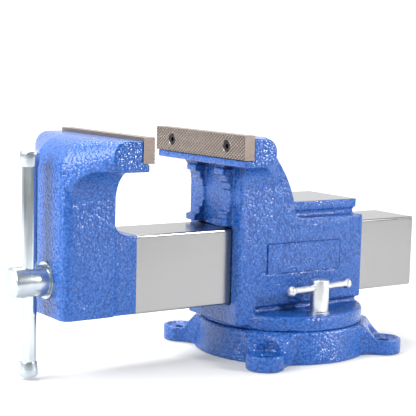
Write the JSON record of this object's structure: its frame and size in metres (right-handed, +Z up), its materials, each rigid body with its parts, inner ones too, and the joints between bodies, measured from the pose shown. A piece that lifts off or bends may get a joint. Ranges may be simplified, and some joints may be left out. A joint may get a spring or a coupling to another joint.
{
  "type": "bench vise",
  "caption": "Heavy bench vise: serrated jaw plates, pipe jaws, long square slide bar, anvil pad, and a turning base with bolting ears and tommy-bar lock bolts.",
  "frame": {"origin": "on the swivel axis, in the plane of the bench (centre of the base's bolt circle)", "axes": "+X along the slide bar from the handle to the anvil end, +Y across the jaws, +Z up"},
  "size_m": [0.6004, 0.2448, 0.2943],
  "materials": {
    "hammered_blue": "hammered enamel on cast iron; slide bar and anvil pad machined bare",
    "plate_steel": "ground and serrated",
    "bright_plated": "bright plated",
    "zinc_plated": "bright zinc",
    "black_steel": "black oxide",
    "plain_steel": "turned, oiled",
    "nut_iron": "cast and machined, greased",
    "spring_steel": "drawn wire"
  },
  "bodies": {
    "base": {"swivel_base": "hammered_blue"},
    "static_jaw": {"vise_body": "hammered_blue", "static_jaw_plate": "plate_steel", "static_plate_screws": "black_steel", "spindle_nut": "nut_iron", "nut_bolt": "black_steel", "nut_bolt_washer": "plain_steel", "lock_washer_near": "zinc_plated", "lock_washer_far": "zinc_plated"},
    "moving_jaw": {"moving_jaw": "hammered_blue", "moving_jaw_plate": "plate_steel", "moving_plate_screws": "black_steel", "thrust_washer": "bright_plated", "opening_spring": "spring_steel"},
    "spindle": {"main_screw": "bright_plated", "spring_washer": "plain_steel", "retaining_collar": "plain_steel", "collar_pin": "plain_steel"},
    "handle": {"handle_bar": "bright_plated", "handle_cap_lower": "bright_plated", "handle_cap_upper": "bright_plated"},
    "lock_bolt_near": {"lock_bolt_near": "zinc_plated"},
    "lock_bolt_far": {"lock_bolt_far": "zinc_plated"},
    "lock_bar_near": {"lock_bar_near": "zinc_plated"},
    "lock_bar_far": {"lock_bar_far": "zinc_plated"},
    "lock_nut_near": {"lock_nut_near": "plain_steel"},
    "lock_nut_far": {"lock_nut_far": "plain_steel"}
  },
  "joints": [
    {"name": "swivel", "type": "hinge", "parent": "base", "child": "static_jaw", "pos_m": [0, 0, 0.0418], "axis": [0, 0, 1], "continuous": true},
    {"name": "jaw_slide", "type": "slide", "parent": "static_jaw", "child": "moving_jaw", "axis": [1, 0, 0], "range_m": [-0.0781, 0.1261]},
    {"name": "screw_spin", "type": "hinge", "parent": "moving_jaw", "child": "spindle", "pos_m": [-0.378, 0, 0.1181], "axis": [1, 0, 0], "range_deg": [-4680, 7560]},
    {"name": "handle_slide", "type": "slide", "parent": "spindle", "child": "handle", "axis": [0, 0, 1], "range_m": [-0.1165, 0.075]},
    {"name": "lock_bolt_near_turn", "type": "hinge", "parent": "static_jaw", "child": "lock_bolt_near", "pos_m": [-0.004, -0.086, 0.094], "axis": [0, 0, 1], "range_deg": [-28.5, 14]},
    {"name": "lock_bar_near_slide", "type": "slide", "parent": "lock_bolt_near", "child": "lock_bar_near", "axis": [-0.9919, -0.1271, 0], "range_m": [-0.0335, 0.0335]},
    {"name": "lock_nut_near_rise", "type": "slide", "parent": "static_jaw", "child": "lock_nut_near", "axis": [0, 0, 1], "range_m": [-0.0002, 0.0002]},
    {"name": "lock_bolt_far_turn", "type": "hinge", "parent": "static_jaw", "child": "lock_bolt_far", "pos_m": [-0.004, 0.086, 0.094], "axis": [0, 0, 1], "range_deg": [-28.5, 14]},
    {"name": "lock_bar_far_slide", "type": "slide", "parent": "lock_bolt_far", "child": "lock_bar_far", "axis": [0.9919, 0.1271, 0], "range_m": [-0.0335, 0.0335]},
    {"name": "lock_nut_far_rise", "type": "slide", "parent": "static_jaw", "child": "lock_nut_far", "axis": [0, 0, 1], "range_m": [-0.0002, 0.0002]}
  ],
  "couplings": [
    {"joint": "jaw_slide", "follows": "screw_spin", "m_per_rad": 0.00095493},
    {"joint": "lock_nut_near_rise", "follows": "lock_bolt_near_turn", "m_per_rad": -0.00027852},
    {"joint": "lock_nut_far_rise", "follows": "lock_bolt_far_turn", "m_per_rad": -0.00027852}
  ]
}
